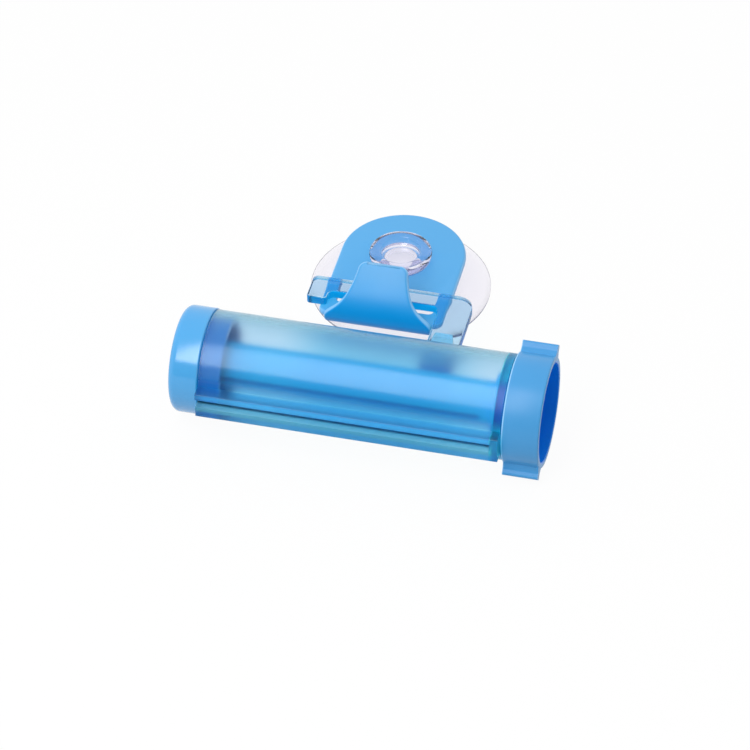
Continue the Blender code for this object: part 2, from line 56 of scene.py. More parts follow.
HEAD_RADIUS, HEAD_BOTTOM_RADIUS, HEAD_TOP_RADIUS = 7.85 * MM, 6.6 * MM, 6.2 * MM
DIMPLE_RADIUS, DIMPLE_EDGE, DIMPLE_FLOOR_RADIUS, DIMPLE_FLOOR_Z = 5.0 * MM, 0.5 * MM, 2.8 * MM, 9.6 * MM
NOISE_LOW, NOISE_HIGH, GRAIN_DEPTH = 0.3, 0.7, 0.02 * MM
CLEAR_FLOW, CLEAR_UNEVEN, CLEAR_BUMP = 7 * MM, 1.15, 0.12


def linear(code):
    """An sRGB hex colour as linear red, green, blue and alpha."""
    levels = [int(code[start:start + 2], 16) / 255 for start in (1, 3, 5)]
    values = [level / 12.92 if level <= 0.04045 else ((level + 0.055) / 1.055) ** 2.4 for level in levels]
    return values + [1.0]


def add_node(tree, kind, inputs=None, **settings):
    """A node with its properties set and its inputs filled: a socket is linked, anything else is a value."""
    made = tree.nodes.new(kind)
    for name, value in settings.items():
        setattr(made, name, value)
    for name, value in (inputs or {}).items():
        if isinstance(value, bpy.types.NodeSocket):
            tree.links.new(value, made.inputs[name])
        else:
            made.inputs[name].default_value = value
    return made


def arc(start, end, bulge_first, steps=8):
    """Quarter-ellipse points from start to end, leaving start along the first axis if bulge_first is set."""
    points = []
    for step in range(1, steps + 1):
        angle = math.pi / 2 * step / steps
        ahead, aside = math.sin(angle), 1 - math.cos(angle)
        first, second = (ahead, aside) if bulge_first else (aside, ahead)
        points.append((start[0] + (end[0] - start[0]) * first, start[1] + (end[1] - start[1]) * second))
    return points


def turned(profile, place):
    """A turned solid from (along, radius) points. place(along, a, b) gives the point in the world."""
    shape = bmesh.new()
    angles = [2 * math.pi * step / TURN_STEPS for step in range(TURN_STEPS)]
    rings = []
    for along, radius in profile:
        if radius == 0:
            rings.append([shape.verts.new(place(along, 0, 0))] * TURN_STEPS)
            continue
        points = [place(along, radius * math.cos(angle), radius * math.sin(angle)) for angle in angles]
        rings.append([shape.verts.new(point) for point in points])
    for lower, upper in zip(rings, rings[1:]):
        for step in range(TURN_STEPS):
            ahead = (step + 1) % TURN_STEPS
            corners = list(dict.fromkeys((lower[step], lower[ahead], upper[ahead], upper[step])))
            if len(corners) > 2:
                shape.faces.new(corners)
    return shape


def object_of(name, shape):
    """The object that holds a finished bmesh, its doubles merged and its faces turned outwards."""
    bmesh.ops.remove_doubles(shape, verts=shape.verts, dist=WELD)
    bmesh.ops.recalc_face_normals(shape, faces=shape.faces)
    mesh = bpy.data.meshes.new(name)
    shape.to_mesh(mesh)
    shape.free()
    made = bpy.data.objects.new(name, mesh)
    bpy.context.scene.collection.objects.link(made)
    return made


def bake(made):
    """Turns what a piece's modifiers make of it into its plain mesh, and takes the modifiers away."""
    graph = bpy.context.evaluated_depsgraph_get()
    made.data = bpy.data.meshes.new_from_object(made.evaluated_get(graph))
    made.modifiers.clear()


def finish_piece(made, made_of, node, body):
    """Gives a piece its plain mesh, material and soft shading, and puts it in the place of its CAD node."""
    bake(made)
    made.data.materials.clear()
    made.data.materials.append(made_of)
    for face in made.data.polygons:
        face.use_smooth = True
        face.material_index = 0
    made.data.set_sharp_from_angle(angle=SOFT_ANGLE)
    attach(made, body)
    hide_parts(node)


def toned(tree, place, flow, colours, tones):
    """A slow flow between two colours, with other tones mixed over it.

    tones holds pairs of a colour and a function of (tree, place) that gives the share of it.
    """
    colour = add_node(tree, "ShaderNodeMix", {
        0: flow, 6: linear(colours[0]), 7: linear(colours[1]),
    }, data_type="RGBA").outputs[2]
    for tone, share_of in tones:
        colour = add_node(tree, "ShaderNodeMix", {
            0: share_of(tree, place), 6: colour, 7: linear(tone),
        }, data_type="RGBA").outputs[2]
    return colour


def clear_plastic(name, colours, tones, absorbed, density, roughness, haze, hazed, ior, grain_size, passed):
    """A clear moulding: a tinted surface, a body that darkens along long paths, and a fine uneven gloss.

    hazed is a function of (tree, place) that gives the share of the haze, which is a second roughness.
    passed holds two colours: what a face leaves of bounced light and of lamp light for what lies behind it.
    """
    made = bpy.data.materials.new(name)
    made.use_nodes = True
    tree = made.node_tree
    shader = tree.nodes["Principled BSDF"]
    place = add_node(tree, "ShaderNodeTexCoord").outputs["Object"]
    flow = add_node(tree, "ShaderNodeTexNoise", {"Vector": place, "Scale": 1 / CLEAR_FLOW, "Detail": 3.0})
    grain = add_node(tree, "ShaderNodeTexNoise", {"Vector": place, "Scale": 1 / grain_size, "Detail": 2.0})
    uneven = add_node(tree, "ShaderNodeMapRange", {
        "Value": flow.outputs["Fac"], "From Min": NOISE_LOW, "From Max": NOISE_HIGH,
        "To Min": roughness, "To Max": roughness * CLEAR_UNEVEN,
    })
    gloss = add_node(tree, "ShaderNodeMapRange", {
        "Value": hazed(tree, place), "To Min": uneven.outputs["Result"], "To Max": haze,
    })
    bump = add_node(tree, "ShaderNodeBump", {
        "Height": grain.outputs["Fac"], "Strength": CLEAR_BUMP, "Distance": GRAIN_DEPTH,
    })
    tree.links.new(toned(tree, place, flow.outputs["Fac"], colours, tones), shader.inputs["Base Color"])
    tree.links.new(gloss.outputs["Result"], shader.inputs["Roughness"])
    tree.links.new(bump.outputs["Normal"], shader.inputs["Normal"])
    shader.inputs["IOR"].default_value = ior
    shader.inputs["Transmission Weight"].default_value = 1.0
    body = add_node(tree, "ShaderNodeVolumeAbsorption", {"Color": linear(absorbed), "Density": density})
    tree.links.new(body.outputs["Volume"], tree.nodes["Material Output"].inputs["Volume"])
    # Bounced light and lamp light go straight through to what lies behind, and take on the plastic's colour
    ray = add_node(tree, "ShaderNodeLightPath").outputs
    for kind, left in zip(("Is Diffuse Ray", "Is Shadow Ray"), passed):
        straight = add_node(tree, "ShaderNodeBsdfTransparent", {"Color": linear(left)})
        shader = add_node(tree, "ShaderNodeMixShader", {
            0: ray[kind], 1: shader.outputs[0], 2: straight.outputs[0],
        })
    tree.links.new(shader.outputs[0], tree.nodes["Material Output"].inputs["Surface"])
    return made


def share_along(tree, place, axis, start, end):
    """A smooth share from 0 to 1 while a place goes from start to end along an axis."""
    along = add_node(tree, "ShaderNodeSeparateXYZ", {"Vector": place}).outputs[axis]
    return add_node(tree, "ShaderNodeMapRange", {
        "Value": along, "From Min": start, "From Max": end,
    }, interpolation_type="SMOOTHSTEP").outputs["Result"]


def on_bell(tree, place):
    """The share of the haze: all of it on the bell, none on the polished head."""
    return share_along(tree, place, "Z", HEAD_BOTTOM_Z, CUP_SHOULDER_Z)


def about_cup(along, a, b):
    """The place of a point of a solid that is turned about the cup's upright axis."""
    return (CUP_X + a, CUP_Y + b, along)


profile = [(CUP_HOLLOW, 0)]
for step in range(1, BELL_STEPS):
    share = step / BELL_STEPS
    profile.append((CUP_HOLLOW * (1 - share ** 2), CUP_FLARE_RADIUS * share))
profile += [(0, CUP_FLARE_RADIUS), (0, CUP_RADIUS - CUP_LIP / 3)]
profile += [(CUP_LIP / 3, CUP_RADIUS), (CUP_LIP, CUP_RADIUS)]
for step in range(1, BELL_STEPS + 1):
    share = step / BELL_STEPS
    risen = share + CUP_ARCH_SHARE * share * (1 - share)
    radius = CUP_RADIUS - (CUP_RADIUS - CUP_SHOULDER_RADIUS) * share
    profile.append((CUP_LIP + (CUP_SHOULDER_Z - 2 * CUP_LIP) * risen, radius))
profile += arc(profile[-1], (CUP_SHOULDER_Z, CUP_SHOULDER_RADIUS - CUP_LIP), True, steps=4)
profile += [(CUP_SHOULDER_Z, NECK_RADIUS), (HEAD_BOTTOM_Z, NECK_RADIUS), (HEAD_BOTTOM_Z, HEAD_BOTTOM_RADIUS)]
profile += arc(profile[-1], (HEAD_WIDEST_Z, HEAD_RADIUS), False)
profile += arc(profile[-1], (HEAD_TOP_Z, HEAD_TOP_RADIUS), True)
profile += arc(profile[-1], (HEAD_TOP_Z - DIMPLE_EDGE, DIMPLE_RADIUS), False, steps=5)
profile += arc(profile[-1], (DIMPLE_FLOOR_Z, DIMPLE_FLOOR_RADIUS), True, steps=6)
profile += [(DIMPLE_FLOOR_Z, 0)]
suction_cup = object_of("suction_cup_moulding", turned(profile, about_cup))
# Plasticised PVC: smooth and nearly colourless, with the faint violet that clear PVC is toned with
pvc = clear_plastic(
    "clear_soft_pvc", colours=("#FAF7FC", "#FCFAFE"), tones=[], absorbed="#D4D8F5", density=60.0,
    roughness=0.05, haze=0.22, hazed=on_bell, ior=1.5, grain_size=0.8 * MM, passed=("#FAFAFC", "#FAFAFC"),
)
finish_piece(suction_cup, pvc, "suction_cup", "cup")

# Hook: one 2 mm sheet, an arched plate that bends up at its front into the leaning tongue.
# It is moulded in one piece from satin sky-blue polypropylene, with a window and a hole through the plate.
# Its outline is laid out flat and carried along the bent centre line, as the flanks of the tongue show.
BARREL_Y, BARREL_Z = -29.9 * MM, 13.5 * MM
SHEET, SHEET_EDGE, CUT_EDGE = 2.0 * MM, 0.8 * MM, 0.25 * MM
PLATE_Z, HOOK_FRONT = 6.5 * MM, 26.9 * MM
HOOK_HALF_WIDTH, HOOK_PAST_CUP, HOOK_HOLE_RADIUS = 15.7 * MM, 2.9 * MM, 5.0 * MM
BEND_RADIUS, LEAN_RADIUS, LEAN, TONGUE_STRAIGHT = 3.0 * MM, 10.5 * MM, math.radians(47), 6.8 * MM
CORNER_LENGTH, BASE_HALF_WIDTH = 2.1 * MM, 13.5 * MM
TIP_HALF_WIDTH, TIP_RADIUS, FLARE_LENGTH, TAPER_SHARE = 5.5 * MM, 2.2 * MM, 3.8 * MM, 0.11
WINDOW_HALF_WIDTH, WINDOW_NEAR, WINDOW_FAR, WINDOW_RADIUS = 12.4 * MM, 34.1 * MM, 42.2 * MM, 1.4 * MM
# Lengths of the painted shade near the bend and of the painted highlight on the sheet's edges
BEND_SHADE_LENGTH, BEND_SHADE_FADE, EDGE_DEPTH, EDGE_FULL_DEPTH = 13 * MM, 1 * MM, 0.05 * MM, 0.3 * MM
ARCH_STEPS, TONGUE_STEPS, BEND_STEPS, CORNER_STEPS, EDGE_STEPS, FILLET_STEPS = 40, 48, 12, 10, 5, 48
OUTLINE_STEPS, BEVEL_STEPS, BEVEL_WELD = 8, 3, 0.001 * MM
OPAQUE_FLOW, OPAQUE_UNEVEN, OPAQUE_BUMP, OPAQUE_IOR = 9 * MM, 0.1, 0.15, 1.5
MIDDLE = SHEET / 2
ARCH_TOP = CUP_Y - BARREL_Y + HOOK_PAST_CUP + HOOK_HALF_WIDTH
PLATE_LENGTH = ARCH_TOP - HOOK_FRONT - BEND_RADIUS
BEND_LENGTH = (BEND_RADIUS - MIDDLE) * math.pi / 2
TONGUE_LENGTH = (LEAN_RADIUS - MIDDLE) * LEAN + TONGUE_STRAIGHT
SHEET_LENGTH = PLATE_LENGTH + BEND_LENGTH + TONGUE_LENGTH


def rounded(corners):
    """A closed outline from (u, v, radius) corners, each turned into an arc of that radius."""
    points = []
    for index, (u, v, radius) in enumerate(corners):
        corner = Vector((u, v))
        before = (Vector(corners[index - 1][:2]) - corner).normalized()
        after = (Vector(corners[(index + 1) % len(corners)][:2]) - corner).normalized()
        if radius == 0:
            points.append(corner)
            continue
        half = before.angle(after) / 2
        middle = corner + (before + after).normalized() * radius / math.sin(half)
        start = corner + before * radius / math.tan(half) - middle
        end = corner + after * radius / math.tan(half) - middle
        turn = start.angle_signed(end) / OUTLINE_STEPS
        points += [middle + Matrix.Rotation(-turn * step, 2) @ start for step in range(OUTLINE_STEPS + 1)]
    return points


def prism(outline, low, high, place):
    """A solid between two copies of an outline. place(u, v, w) gives the point in the world."""
    shape = bmesh.new()
    rings = [[shape.verts.new(place(u, v, w)) for u, v in outline] for w in (low, high)]
    shape.faces.new(rings[0])
    shape.faces.new(rings[1])
    for index in range(len(outline)):
        ahead = (index + 1) % len(outline)
        shape.faces.new((rings[0][index], rings[0][ahead], rings[1][ahead], rings[1][index]))
    return shape


def combine(made, other, operation):
    """Cuts another object from a piece, or joins it to it, and takes the other away."""
    step = made.modifiers.new(other.name, "BOOLEAN")
    step.operation, step.solver, step.object = operation, "EXACT", other
    bake(made)
    bpy.data.objects.remove(other, do_unlink=True)


def round_edges(made, width, least_angle):
    """Rounds a piece's edges that turn by more than an angle in degrees, as the tool's small radii do."""
    weld = made.modifiers.new("weld", "WELD")
    weld.merge_threshold = BEVEL_WELD
    edges = made.modifiers.new("edges", "BEVEL")
    edges.width, edges.segments = width, BEVEL_STEPS
    edges.limit_method, edges.angle_limit = "ANGLE", math.radians(least_angle)
    bake(made)


def sheet_outline():
    """Half the outline laid flat, from the arch to the tip: (distance from the arch's top, half width)."""
    points = []
    for step in range(ARCH_STEPS + 1):
        angle = math.pi / 2 * step / ARCH_STEPS
        points.append((HOOK_HALF_WIDTH * (1 - math.cos(angle)), HOOK_HALF_WIDTH * math.sin(angle)))
    for step in range(CORNER_STEPS + 1):
        angle = math.pi / 2 * step / CORNER_STEPS
        narrowing = (HOOK_HALF_WIDTH - BASE_HALF_WIDTH) * (1 - math.cos(angle))
        points.append((PLATE_LENGTH - CORNER_LENGTH * (1 - math.sin(angle)), HOOK_HALF_WIDTH - narrowing))
    for step in range(1, BEND_STEPS):
        points.append((PLATE_LENGTH + BEND_LENGTH * step / BEND_STEPS, BASE_HALF_WIDTH))
    flare = BASE_HALF_WIDTH - TIP_HALF_WIDTH - TAPER_SHARE * TONGUE_LENGTH
    for step in range(TONGUE_STEPS + 1):
        up = (TONGUE_LENGTH - TIP_RADIUS) * step / TONGUE_STEPS
        narrow = TIP_HALF_WIDTH + TAPER_SHARE * (TONGUE_LENGTH - up) + flare / (1 + (up / FLARE_LENGTH) ** 2)
        points.append((PLATE_LENGTH + BEND_LENGTH + up, narrow))
    for step in range(1, CORNER_STEPS + 1):
        angle = math.pi / 2 * step / CORNER_STEPS
        past = TIP_RADIUS * (1 - math.sin(angle))
        points.append((SHEET_LENGTH - past, narrow - TIP_RADIUS * (1 - math.cos(angle))))
    return points


def flat_sheet():
    """The sheet before it is bent: X across, Y the distance from the arch's top, Z through the thickness."""
    outline = sheet_outline()
    shape = bmesh.new()
    rows = []
    for index, (travel, half) in enumerate(outline):
        before = Vector(outline[index - 1] if index else (travel, -half - SHEET_EDGE))
        after = Vector(outline[index + 1] if index + 1 < len(outline) else (travel, half - SHEET_EDGE))
        way = (after - before).normalized()
        out = Vector((-way.y, way.x))
        row = []
        for face in (1, -1):
            for step in range(EDGE_STEPS + 1):
                angle = math.pi / 2 * (step if face > 0 else EDGE_STEPS - step) / EDGE_STEPS
                inset = SHEET_EDGE * (1 - math.sin(angle))
                rise = MIDDLE - SHEET_EDGE * (1 - math.cos(angle))
                row.append((travel - out.x * inset, max(half - out.y * inset, 0), rise * face))
        right = [shape.verts.new((aside, along, rise)) for along, aside, rise in row]
        left = [shape.verts.new((-aside, along, rise)) for along, aside, rise in row[::-1]]
        rows.append(right + left)
    for first, second in zip(rows, rows[1:]):
        for index in range(len(first)):
            ahead = (index + 1) % len(first)
            shape.faces.new((first[index], first[ahead], second[ahead], second[index]))
    shape.faces.new(rows[-1])
    bmesh.ops.remove_doubles(shape, verts=shape.verts, dist=WELD)
    bmesh.ops.holes_fill(shape, edges=shape.edges)
    return shape


def new_tree(name, named_inputs):
    """An empty geometry nodes tree with a geometry input and output, and named inputs of the given kinds."""
    tree = bpy.data.node_groups.new(name, "GeometryNodeTree")
    for socket, kind in {"Geometry": "Geometry", **named_inputs, "Material": "Material"}.items():
        tree.interface.new_socket(socket, in_out="INPUT", socket_type="NodeSocket" + kind)
    tree.interface.new_socket("Geometry", in_out="OUTPUT", socket_type="NodeSocketGeometry")
    return tree


def end_tree(tree, geometry, material):
    """Ends a geometry nodes tree: instances made real, their material set, and the result put out."""
    real = add_node(tree, "GeometryNodeRealizeInstances", {"Geometry": geometry})
    dressed = add_node(tree, "GeometryNodeSetMaterial", {
        "Geometry": real.outputs["Geometry"], "Material": material,
    })
    add_node(tree, "NodeGroupOutput", {"Geometry": dressed.outputs["Geometry"]})


def bending_tree():
    """Geometry nodes that carry a flat sheet along a centre line of straights and two filleted bends."""
    corners = ("Plate End", "Bend Corner", "Lean Corner", "Tongue Tip")
    tree = new_tree("bend_sheet_along_line", {
        **dict.fromkeys(corners, "Vector"),
        **dict.fromkeys(("Bend Radius", "Lean Radius", "Sheet Length"), "Float"),
    })
    given = add_node(tree, "NodeGroupInput").outputs
    index = add_node(tree, "GeometryNodeInputIndex").outputs["Index"]
    corner = add_node(tree, "GeometryNodeIndexSwitch", {"Index": index}, data_type="VECTOR")
    corner.index_switch_items.new()
    corner.index_switch_items.new()
    for item, name in enumerate(corners):
        tree.links.new(given[name], corner.inputs[item + 1])
    line = add_node(tree, "GeometryNodeMeshLine", {"Count": len(corners)}, mode="OFFSET")
    placed = add_node(tree, "GeometryNodeSetPosition", {
        "Geometry": line.outputs["Mesh"], "Position": corner.outputs[0],
    })
    curve = add_node(tree, "GeometryNodeMeshToCurve", {"Mesh": placed.outputs["Geometry"]})
    at_bend = add_node(tree, "FunctionNodeCompare", {2: index, 3: 1}, data_type="INT", operation="EQUAL")
    radius = add_node(tree, "GeometryNodeSwitch", {
        "Switch": at_bend.outputs[0], "False": given["Lean Radius"], "True": given["Bend Radius"],
    }, input_type="FLOAT")
    bent = add_node(tree, "GeometryNodeFilletCurve", {
        "Curve": curve.outputs["Curve"], "Count": FILLET_STEPS, "Radius": radius.outputs[0],
    }, mode="POLY")
    where = add_node(tree, "GeometryNodeInputPosition").outputs["Position"]
    axes = add_node(tree, "ShaderNodeSeparateXYZ", {"Vector": where}).outputs
    share = add_node(tree, "ShaderNodeMath", {0: axes["Y"], 1: given["Sheet Length"]}, operation="DIVIDE")
    sampled = add_node(tree, "GeometryNodeSampleCurve", {
        "Curves": bent.outputs["Curve"], "Factor": share.outputs[0],
    }, mode="FACTOR")
    across = add_node(tree, "ShaderNodeCombineXYZ", {"X": 1.0}).outputs[0]
    outward = add_node(tree, "ShaderNodeVectorMath", {
        0: across, 1: sampled.outputs["Tangent"],
    }, operation="CROSS_PRODUCT")
    risen = add_node(tree, "ShaderNodeVectorMath", {
        0: outward.outputs[0], "Scale": axes["Z"],
    }, operation="SCALE")
    aside = add_node(tree, "ShaderNodeCombineXYZ", {"X": axes["X"]})
    carried = add_node(tree, "ShaderNodeVectorMath", {
        0: sampled.outputs["Position"], 1: risen.outputs[0],
    }, operation="ADD")
    final = add_node(tree, "ShaderNodeVectorMath", {
        0: carried.outputs[0], 1: aside.outputs[0],
    }, operation="ADD")
    marked = given["Geometry"]
    for name, axis in (("along_sheet", "Y"), ("through_sheet", "Z")):
        marked = add_node(tree, "GeometryNodeStoreNamedAttribute", {
            "Geometry": marked, "Name": name, "Value": axes[axis],
        }, data_type="FLOAT", domain="POINT").outputs["Geometry"]
    moved = add_node(tree, "GeometryNodeSetPosition", {"Geometry": marked, "Position": final.outputs[0]})
    end_tree(tree, moved.outputs["Geometry"], given["Material"])
    return tree


def run_tree(made, tree, values):
    """Adds a geometry nodes modifier, with its named inputs set by their sockets' identifiers."""
    step = made.modifiers.new(tree.name, "NODES")
    step.node_group = tree
    for item in tree.interface.items_tree:
        if item.in_out == "INPUT" and item.name in values:
            step[item.identifier] = values[item.name]


def moulded_plastic(name, colours, tones, roughness, grain_size, gloss_level):
    """An opaque moulding: a slow flow of colour with other tones over it, uneven gloss and a fine grain."""
    made = bpy.data.materials.new(name)
    made.use_nodes = True
    tree = made.node_tree
    shader = tree.nodes["Principled BSDF"]
    place = add_node(tree, "ShaderNodeTexCoord").outputs["Object"]
    flow = add_node(tree, "ShaderNodeTexNoise", {"Vector": place, "Scale": 1 / OPAQUE_FLOW, "Detail": 4.0})
    grain = add_node(tree, "ShaderNodeTexNoise", {"Vector": place, "Scale": 1 / grain_size, "Detail": 3.0})
    gloss = add_node(tree, "ShaderNodeMapRange", {
        "Value": flow.outputs["Fac"], "From Min": NOISE_LOW, "From Max": NOISE_HIGH,
        "To Min": roughness * (1 - OPAQUE_UNEVEN), "To Max": roughness * (1 + OPAQUE_UNEVEN),
    })
    bump = add_node(tree, "ShaderNodeBump", {
        "Height": grain.outputs["Fac"], "Strength": OPAQUE_BUMP, "Distance": GRAIN_DEPTH,
    })
    tree.links.new(toned(tree, place, flow.outputs["Fac"], colours, tones), shader.inputs["Base Color"])
    tree.links.new(gloss.outputs["Result"], shader.inputs["Roughness"])
    tree.links.new(bump.outputs["Normal"], shader.inputs["Normal"])
    shader.inputs["IOR"].default_value = OPAQUE_IOR
    shader.inputs["Specular IOR Level"].default_value = gloss_level
    return made


def share_in_sheet(tree, attribute, start, end):
    """A smooth share from 0 to 1 while the amount of one of the sheet's attributes goes from start to end."""
    value = add_node(tree, "ShaderNodeAttribute", attribute_name=attribute).outputs["Fac"]
    amount = add_node(tree, "ShaderNodeMath", {0: value}, operation="ABSOLUTE").outputs[0]
    return add_node(tree, "ShaderNodeMapRange", {
        "Value": amount, "From Min": start, "From Max": end,
    }, interpolation_type="SMOOTHSTEP").outputs["Result"]


def painted_bend_shade(tree, place):
    """The share of the painted shade: none on the plate, all of it at the tongue's foot, none at its tip."""
    foot = PLATE_LENGTH + BEND_LENGTH
    rising = share_in_sheet(tree, "along_sheet", PLATE_LENGTH - BEND_SHADE_FADE, PLATE_LENGTH + BEND_SHADE_FADE)
    falling = share_in_sheet(tree, "along_sheet", foot + BEND_SHADE_LENGTH, foot + BEND_SHADE_FADE)
    return add_node(tree, "ShaderNodeMath", {0: rising, 1: falling}, operation="MULTIPLY").outputs[0]


def painted_edge_highlight(tree, place):
    """The share of the painted highlight: all of it on the sheet's rounded edges, none on its two faces."""
    return share_in_sheet(tree, "through_sheet", MIDDLE - EDGE_DEPTH, MIDDLE - EDGE_FULL_DEPTH)


# Polypropylene, satin from a fine-eroded tool, with a painted highlight on its thin edges and painted shade
# towards the bend at its foot
satin_polypropylene = moulded_plastic(
    "satin_polypropylene_sky_blue", colours=("#54ABE7", "#5AAFE9"),
    tones=[("#009DE6", painted_bend_shade), ("#86C8FA", painted_edge_highlight)],
    roughness=0.38, grain_size=0.35 * MM, gloss_level=0.35,
)
hook = object_of("hook_moulding", flat_sheet())
hole = object_of("hook_hole", turned([
    (-SHEET, 0), (-SHEET, HOOK_HOLE_RADIUS), (SHEET, HOOK_HOLE_RADIUS), (SHEET, 0),
], lambda along, a, b: (a, HOOK_HALF_WIDTH + HOOK_PAST_CUP + b, along)))
combine(hook, hole, "DIFFERENCE")
window = object_of("hook_window", prism(rounded([
    (-WINDOW_HALF_WIDTH, ARCH_TOP - WINDOW_FAR, WINDOW_RADIUS),
    (WINDOW_HALF_WIDTH, ARCH_TOP - WINDOW_FAR, WINDOW_RADIUS),
    (WINDOW_HALF_WIDTH, ARCH_TOP - WINDOW_NEAR, WINDOW_RADIUS),
    (-WINDOW_HALF_WIDTH, ARCH_TOP - WINDOW_NEAR, WINDOW_RADIUS),
]), -SHEET, SHEET, lambda u, v, w: (u, v, w)))
combine(hook, window, "DIFFERENCE")
round_edges(hook, CUT_EDGE, least_angle=60)
lean_rise = (LEAN_RADIUS - MIDDLE) * math.tan(LEAN / 2)
bend_y, bend_z = BARREL_Y + HOOK_FRONT + MIDDLE, PLATE_Z + MIDDLE
lean_z = PLATE_Z + BEND_RADIUS + lean_rise
reach = lean_rise + TONGUE_STRAIGHT
run_tree(hook, bending_tree(), {
    "Plate End": (CUP_X, bend_y + BEND_RADIUS - MIDDLE + PLATE_LENGTH, bend_z),
    "Bend Corner": (CUP_X, bend_y, bend_z),
    "Lean Corner": (CUP_X, bend_y, lean_z),
    "Tongue Tip": (CUP_X, bend_y + reach * math.sin(LEAN), lean_z + reach * math.cos(LEAN)),
    "Bend Radius": BEND_RADIUS - MIDDLE,
    "Lean Radius": LEAN_RADIUS - MIDDLE,
    "Sheet Length": SHEET_LENGTH,
    "Material": satin_polypropylene,
})
finish_piece(hook, satin_polypropylene, "hook", "hook_plate")

# Barrel: a tube of clear blue polystyrene with a flat lip block along its front, split by the slot.
# The tube is glossy outside and frosted in the bore by the tool's core, so the roller shows as a soft band.
# The end wall with the journal hole and the tab at the back are part of the same moulding.
BARREL_RADIUS, BORE_RADIUS = 12.75 * MM, 11.2 * MM
BARREL_X, BARREL_END_X, END_WALL_X = -37.5 * MM, 35.9 * MM, 33.9 * MM
MOUTH_REACH, MOUTH_TOP, MOUTH_BOTTOM, MOUTH_EDGE = 15.6 * MM, 2.9 * MM, 4.0 * MM, 0.4 * MM
SLOT_TOP, SLOT_BOTTOM = 1.3 * MM, 1.0 * MM
TAB_REACH, TAB_ROOT_REACH, TAB_BOTTOM, TAB_TOP = 27.1 * MM, 9.0 * MM, 6.5 * MM, 8.5 * MM
TAB_TIP, TAB_ROOT, TAB_CORNER = (11.5 * MM, 15.7 * MM), (9.4 * MM, 19.6 * MM), 0.5 * MM
ROLLER_RADIUS, GAP, PAST = 5.5 * MM, 0.3 * MM, 2.0 * MM
LIP_START, LIP_FULL, UPPER_LIP_FADE = 11.6 * MM, 12.2 * MM, 0.8 * MM
BORE_FROST, BORE_CLEAR = 0.3 * MM, 0.6 * MM
WALL_SHADE_AND_HAZE_X, WALL_SHADE_AND_HAZE_FULL_X = END_WALL_X - 0.2 * MM, END_WALL_X + 0.1 * MM
# Where the painted shade of the hook lies along the barrel
HOOK_SHADE_X, HOOK_SHADE_REACH, HOOK_SHADE_FULL_REACH = 4.0 * MM, 27 * MM, 11 * MM


def about_barrel(along, a, b):
    """The place of a point of a solid that is turned about the barrel's axis."""
    return (along, BARREL_Y + a, BARREL_Z + b)


def along_barrel(y, z, x):
    """The place of a point of a section across the barrel's axis, at x along it."""
    return (x, BARREL_Y + y, BARREL_Z + z)


def from_barrel(x, y, z):
    """The place of a point of a flat outline, with y measured from the barrel's axis."""
    return (x, BARREL_Y + y, z)


start = math.asin(MOUTH_TOP / BARREL_RADIUS)
sweep = 2 * math.pi - start - math.asin(MOUTH_BOTTOM / BARREL_RADIUS)
section = []
for step in range(TURN_STEPS + 1):
    angle = start + sweep * step / TURN_STEPS
    section.append(Vector((-BARREL_RADIUS * math.cos(angle), BARREL_RADIUS * math.sin(angle))))
section += rounded([
    (-BORE_RADIUS, -MOUTH_BOTTOM, 0),
    (-MOUTH_REACH, -MOUTH_BOTTOM, MOUTH_EDGE),
    (-MOUTH_REACH, MOUTH_TOP, MOUTH_EDGE),
    (-BORE_RADIUS, MOUTH_TOP, 0),
])[1:-1]
barrel = object_of("barrel_moulding", prism(section, BARREL_X, BARREL_END_X, along_barrel))
tab = object_of("barrel_tab", prism(rounded([
    (TAB_ROOT[0], TAB_ROOT_REACH, 0),
    (TAB_TIP[0], TAB_REACH, TAB_CORNER),
    (TAB_TIP[1], TAB_REACH, TAB_CORNER),
    (TAB_ROOT[1], TAB_ROOT_REACH, 0),
]), TAB_BOTTOM, TAB_TOP, from_barrel))
combine(barrel, tab, "UNION")
bore = object_of("barrel_bore", turned([
    (BARREL_X - PAST, 0), (BARREL_X - PAST, BORE_RADIUS), (END_WALL_X, BORE_RADIUS), (END_WALL_X, 0),
], about_barrel))
combine(barrel, bore, "DIFFERENCE")
slot = object_of("barrel_slot", prism([
    (-MOUTH_REACH - PAST, -SLOT_BOTTOM), (-ROLLER_RADIUS, -SLOT_BOTTOM),
    (-ROLLER_RADIUS, SLOT_TOP), (-MOUTH_REACH - PAST, SLOT_TOP),
], BARREL_X - PAST, END_WALL_X, along_barrel))
combine(barrel, slot, "DIFFERENCE")
journal_hole = object_of("barrel_journal_hole", turned([
    (END_WALL_X - PAST, 0), (END_WALL_X - PAST, ROLLER_RADIUS + GAP),
    (BARREL_END_X + PAST, ROLLER_RADIUS + GAP), (BARREL_END_X + PAST, 0),
], about_barrel))
combine(barrel, journal_hole, "DIFFERENCE")


def share_out(tree, place, start, end):
    """A smooth share from 0 to 1 while the distance from the barrel's axis goes from start to end."""
    moved = add_node(tree, "ShaderNodeVectorMath", {
        0: place, 1: (0.0, -BARREL_Y, -BARREL_Z),
    }, operation="ADD").outputs[0]
    across = add_node(tree, "ShaderNodeVectorMath", {
        0: moved, 1: (0.0, 1.0, 1.0),
    }, operation="MULTIPLY").outputs[0]
    distance = add_node(tree, "ShaderNodeVectorMath", {0: across}, operation="LENGTH").outputs["Value"]
    return add_node(tree, "ShaderNodeMapRange", {
        "Value": distance, "From Min": start, "From Max": end,
    }, interpolation_type="SMOOTHSTEP").outputs["Result"]


def in_lip(tree, place):
    """A share that is all in the lip block in front of the tube, and none round the tube."""
    return share_along(tree, place, "Y", BARREL_Y - LIP_START, BARREL_Y - LIP_FULL)


def painted_upper_lip_shade(tree, place):
    """The share of the painted shade: all of it in the lip block above the slot, none elsewhere."""
    above = share_along(tree, place, "Z", BARREL_Z, BARREL_Z + UPPER_LIP_FADE)
    return add_node(tree, "ShaderNodeMath", {
        0: in_lip(tree, place), 1: above,
    }, operation="MULTIPLY").outputs[0]


